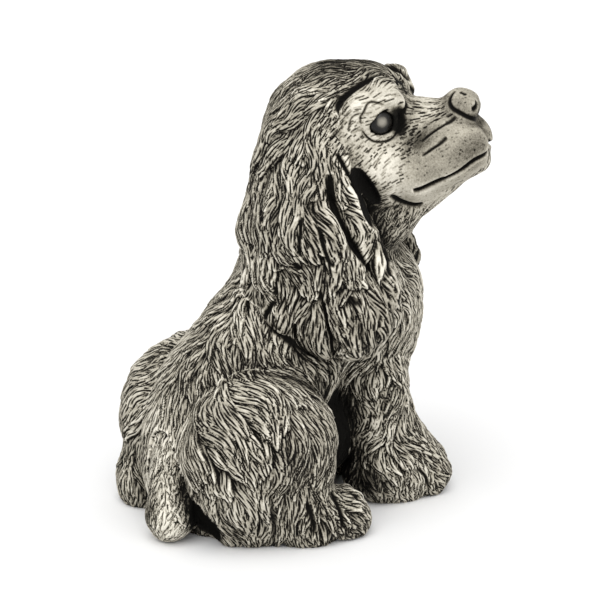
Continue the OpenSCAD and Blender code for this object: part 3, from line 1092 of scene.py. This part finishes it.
def sculpt():
    """Makes every carved piece of the figure, as closed meshes that meet along their seams."""
    volumes, coarse = blend_figure()
    figure = volumes[0]
    pieces = []
    for number, name in enumerate(NAMES):
        solid, split, origin = piece_volumes(number, *volumes)
        points, triangles, quads = surface(solid, origin)
        piece = base_piece("carved_" + name, settle(points, figure, split, origin), triangles, quads)
        subdivide(piece)
        pieces.append(piece)
    ends = np.cumsum([0] + [len(piece.data.vertices) for piece in pieces])
    points = np.concatenate([coordinates(piece.data) for piece in pieces])
    skin_gap = sample(figure, points)
    on_skin = np.flatnonzero(np.abs(skin_gap) < ON_SKIN * CELL)
    outer = points[on_skin]
    normals = unit(slope(figure, outer))
    outer -= normals * skin_gap[on_skin, None]
    points[on_skin] = outer
    skin = Skin(outer, normals)
    coats, shades, hairy = in_threads(coats_and_shades, outer)
    layers = {name: np.zeros(len(outer)) for name in ("lock", "tuft", "cut", "depth", "tone", "line")}
    layers["cut"][np.isin(coats, [COAT_NAMES.index(name) for name in COATS])] = 1.0
    rng = np.random.default_rng(SEED)
    grow(skin, figure, coats, layers, rng)
    for name in ("lock", "tuft", "cut", "depth"):
        layers[name] *= hairy
    tick(skin, figure, coats, layers, rng)
    carve_lines(skin, figure, layers)
    height = layers["tuft"] + layers["lock"] - layers["depth"] - layers["line"]
    height *= ~((normals[:, 2] < SOLE_FACING) & (outer[:, 2] < SOLE_TOP))
    # painted shade: darker where the rest of the figure closes in over the skin, near and far
    far = sample(coarse, outer + normals * FAR_REACH, LOW + BLOCK / 2, BLOCK)
    occlusion_shade = sum(share * occlusion(figure, outer, normals, reach) for reach, share in NEARBY)
    occlusion_shade += FAR_SHARE * np.clip(1 - far / FAR_REACH, 0, 1) ** FAR_POWER
    relief, all_normals = np.zeros(len(points)), np.zeros((len(points), 3))
    relief[on_skin], all_normals[on_skin] = height, normals
    marks = {"cut": layers["cut"], "tone": layers["tone"], "shade": shades, "occlusion_shade": occlusion_shade}
    for name, values in marks.items():
        marks[name] = np.zeros(len(points))
        marks[name][on_skin] = values
    for piece, first, last in zip(pieces, ends, ends[1:]):
        mesh = piece.data
        mark_seams(mesh, figure)
        own = slice(first, last)
        carved = points[own] + all_normals[own] * relief[own, None]
        carved[:, 2] = np.maximum(carved[:, 2], 0)
        mesh.vertices.foreach_set("co", (carved * MM).ravel())
        links = edge_ends(mesh)
        for name, passes in BLURS.items():
            store(mesh, name, relief[own] - soften(relief[own], links, passes))
        for name, values in marks.items():
            store(mesh, name, values[own])
        mesh.polygons.foreach_set("use_smooth", np.ones(len(mesh.polygons), bool))
        mesh.update()
    return pieces


# ---- materials

class Nodes:
    """A short way to write a material's nodes."""

    def __init__(self, name):
        self.material = bpy.data.materials.new(name)
        self.material.use_nodes = True
        self.tree = self.material.node_tree
        self.shader = self.tree.nodes["Principled BSDF"]

    def feed(self, node, inputs):
        """Sets a node's inputs to numbers, or to the outputs of other nodes."""
        for key, value in inputs.items():
            if isinstance(value, bpy.types.NodeSocket):
                self.tree.links.new(value, node.inputs[key])
            else:
                node.inputs[key].default_value = value

    def add(self, kind, inputs, **settings):
        node = self.tree.nodes.new(kind)
        for key, value in settings.items():
            setattr(node, key, value)
        self.feed(node, inputs)
        return node

    def math(self, operation, first, second, clamp=False):
        settings = {"operation": operation, "use_clamp": clamp}
        return self.add("ShaderNodeMath", {0: first, 1: second}, **settings).outputs[0]

    def vectors(self, operation, first, second):
        return self.add("ShaderNodeVectorMath", {0: first, 1: second}, operation=operation)

    def attribute(self, name):
        return self.add("ShaderNodeAttribute", {}, attribute_name=name).outputs["Fac"]

    def place_in(self):
        """Where the shaded point lies in the object's own frame, which is the CAD frame in metres."""
        return self.add("ShaderNodeTexCoord", {}).outputs["Object"]

    def scale(self, value, low, high, to_low=0.0, to_high=1.0):
        return self.add("ShaderNodeMapRange", {0: value, 1: low, 2: high, 3: to_low, 4: to_high}).outputs[0]

    def noise(self, scale, detail=3.0, rough=0.55):
        inputs = {"Vector": self.place_in(), "Scale": scale, "Detail": detail, "Roughness": rough}
        return self.add("ShaderNodeTexNoise", inputs).outputs["Fac"]

    def bump(self, height, distance, strength):
        inputs = {"Height": height, "Distance": distance, "Strength": strength}
        return self.add("ShaderNodeBump", inputs).outputs[0]

    def ramp(self, value, stops):
        node = self.add("ShaderNodeValToRGB", {0: value})
        ramp = node.color_ramp
        while len(ramp.elements) < len(stops):
            ramp.elements.new(0.5)
        for element, (position, colour) in zip(ramp.elements, stops):
            element.position, element.color = position, (*colour, 1.0)
        return node.outputs[0]


# How light the wash and the painted shade leave each level of the carving, from the deepest to the most
# rubbed.
WASH_AND_SHADE = [
    (0.0, (0.003, 0.0026, 0.0018)), (0.25, (0.012, 0.0105, 0.0075)), (0.45, (0.105, 0.094, 0.072)),
    (0.68, (0.40, 0.37, 0.30)), (1.0, (0.80, 0.76, 0.66)),
]
GLAZE_AND_HIGHLIGHT = [(0.0, (0.004, 0.0035, 0.003)), (0.45, (0.02, 0.018, 0.014)), (1.0, (0.27, 0.25, 0.21))]
CLAY = [(0.3, (0.30, 0.27, 0.22)), (0.7, (0.52, 0.48, 0.41))]
WASH_OFFSET = 0.06 - 0.10
HIGHLIGHT_EDGE = 0.86                   # the eye's painted highlight rises from this share of its radius to the front of the ball


def antiqued_and_shaded(name):
    """Fired stoneware with a dark wash left in its carving and wiped off the ridges, plus painted shade in
    broad hollows, where the figure closes in and in deep gaps.
    """
    m = Nodes(name)
    ridge = m.scale(m.attribute("near"), -0.6, 0.6)
    broad = m.scale(m.attribute("wide"), -1.8, 1.6)
    grain = m.scale(m.noise(900.0, 4.0, 0.7), 0.3, 0.7, -0.10, 0.10)
    cloud = m.scale(m.noise(38.0), 0.35, 0.65, -0.08, 0.08)
    tone = m.scale(m.attribute("tone"), 0.0, 1.0, -0.06, 0.06)
    # from dark to light: the wash in the carving, with painted shade added in hollows and gaps
    wash = m.math("MULTIPLY", ridge, 0.42)
    for part in (
        # broad hollows of the relief, darkened partly as wash and partly as painted shade
        m.math("MULTIPLY", broad, 0.46),
        m.math("MULTIPLY", m.attribute("cut"), -0.74),
        # painted shade where the rest of the figure closes in round a point
        m.math("MULTIPLY", m.attribute("occlusion_shade"), -0.55),
        m.math("ADD", grain, cloud),
        tone,
        # each coat's own lightness, less the painted shadows in the deep gaps
        m.math("MULTIPLY", m.attribute("shade"), 0.55),
    ):
        wash = m.math("ADD", wash, part)
    wash = m.math("ADD", wash, WASH_OFFSET, True)
    m.feed(m.shader, {
        "Base Color": m.ramp(wash, WASH_AND_SHADE),
        "Roughness": m.scale(wash, 0.0, 1.0, 0.85, 0.55),
        "Specular IOR Level": 0.12,
        "Normal": m.bump(m.noise(1500.0, 3.0, 0.6), 0.0003, 0.5),
    })
    return m.material


def glazed_eye_with_highlight(name, centre, gaze):
    """A dark glazed ball with a painted highlight, lighter where it looks out."""
    m = Nodes(name)
    offset = m.vectors("SUBTRACT", m.place_in(), tuple(centre * MM)).outputs[0]
    facing = m.vectors("DOT_PRODUCT", offset, tuple(gaze)).outputs["Value"]
    # painted highlight: the ball is lighter towards the front, where it looks out
    wiped = m.scale(facing, HIGHLIGHT_EDGE * EYE_R * MM, EYE_R * MM)
    wiped = m.math("ADD", wiped, m.scale(m.noise(420.0), 0.3, 0.7, -0.06, 0.06))
    m.feed(m.shader, {
        "Base Color": m.ramp(wiped, GLAZE_AND_HIGHLIGHT),
        "Roughness": m.scale(m.noise(700.0), 0.3, 0.7, 0.24, 0.34),
        "Specular IOR Level": 0.2,
        "Coat Weight": 0.15,
        "Coat Roughness": 0.15,
    })
    return m.material


def bare_clay():
    m = Nodes("slab_clay")
    m.feed(m.shader, {
        "Base Color": m.ramp(m.noise(120.0, 5.0), CLAY),
        "Roughness": m.scale(m.noise(300.0), 0.3, 0.7, 0.75, 0.92),
        "Normal": m.bump(m.noise(500.0, 6.0, 0.7), 0.0006, 0.6),
    })
    return m.material


def pale_floor():
    m = Nodes("floor")
    m.feed(m.shader, {"Base Color": (0.86, 0.86, 0.86, 1.0), "Roughness": 0.9})
    return m.material


# ---- the object

def finish_with(piece, material):
    piece.data.materials.clear()
    piece.data.materials.append(material)


for name, piece in zip(NAMES, sculpt()):
    finish_with(piece, antiqued_and_shaded("wash_and_shade_" + name))
    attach(piece, "root")
    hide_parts(name)

for name, side in SIDES.items():
    eyeball = frame["nodes"]["eye_" + name]
    eyeball.data.polygons.foreach_set("use_smooth", np.ones(len(eyeball.data.polygons), bool))
    gaze = HEAD_AXES @ unit(np.array(side_of(GAZE, side)))
    finish_with(eyeball, glazed_eye_with_highlight("eye_glaze_and_highlight_" + name, eye_centre(side), gaze))
finish_with(frame["nodes"]["base_slab"], bare_clay())


# ---- stage, light and camera

bpy.ops.mesh.primitive_plane_add(size=12.0, location=(0, 0, 0))
floor = bpy.context.object
floor.name = "floor"
finish_with(floor, pale_floor())


def aim_along(direction):
    return Vector(direction).to_track_quat("-Z", "Y").to_euler()


def way_to(azimuth, elevation):
    """The way to something seen at an azimuth (0 is the figure's right side) and an elevation, in degrees."""
    turn, lift = math.radians(azimuth), math.radians(elevation)
    return np.array([math.sin(turn) * math.cos(lift), -math.cos(turn) * math.cos(lift), math.sin(lift)])


def aimed(name, data, azimuth, elevation, distance):
    """An object that looks at the middle of the figure from some way off."""
    thing = bpy.data.objects.new(name, data)
    bpy.context.scene.collection.objects.link(thing)
    back = way_to(azimuth, elevation)
    thing.location = AIM + back * distance
    thing.rotation_euler = aim_along(-back)
    return thing


def soft_light(name, azimuth, elevation, strength, spread):
    """A broad far light."""
    data = bpy.data.lights.new(name, "SUN")
    data.energy, data.angle = strength, math.radians(spread)
    aimed(name, data, azimuth, elevation, 1.0)


AIM = np.array([0.0, 0.0, 0.15])
soft_light("key", -50.0, 62.0, 1.75, 50.0)
soft_light("fill", 20.0, 35.0, 0.6, 60.0)

world = bpy.data.worlds.new("studio")
bpy.context.scene.world = world
world.use_nodes = True
world.node_tree.nodes["Background"].inputs["Color"].default_value = (1.0, 1.0, 1.0, 1.0)
world.node_tree.nodes["Background"].inputs["Strength"].default_value = 0.76
bpy.context.scene.view_settings.view_transform = "Standard"

# The photo's view, and how far the figure stands off the middle of its frame.
VIEW_AZIMUTH, VIEW_ELEVATION, VIEW_DISTANCE = -30.0, 18.0, 1.3
FRAME_WIDTH = 0.3876                # what the picture spans at the middle of the figure, in metres
SENSOR = 36.0
SHIFT_X, SHIFT_Y = 0.015, -0.025
camera = aimed("camera", bpy.data.cameras.new("camera"), VIEW_AZIMUTH, VIEW_ELEVATION, VIEW_DISTANCE)
camera.data.sensor_width = SENSOR
camera.data.lens = SENSOR * VIEW_DISTANCE / FRAME_WIDTH
camera.data.shift_x, camera.data.shift_y = SHIFT_X, SHIFT_Y
bpy.context.scene.camera = camera
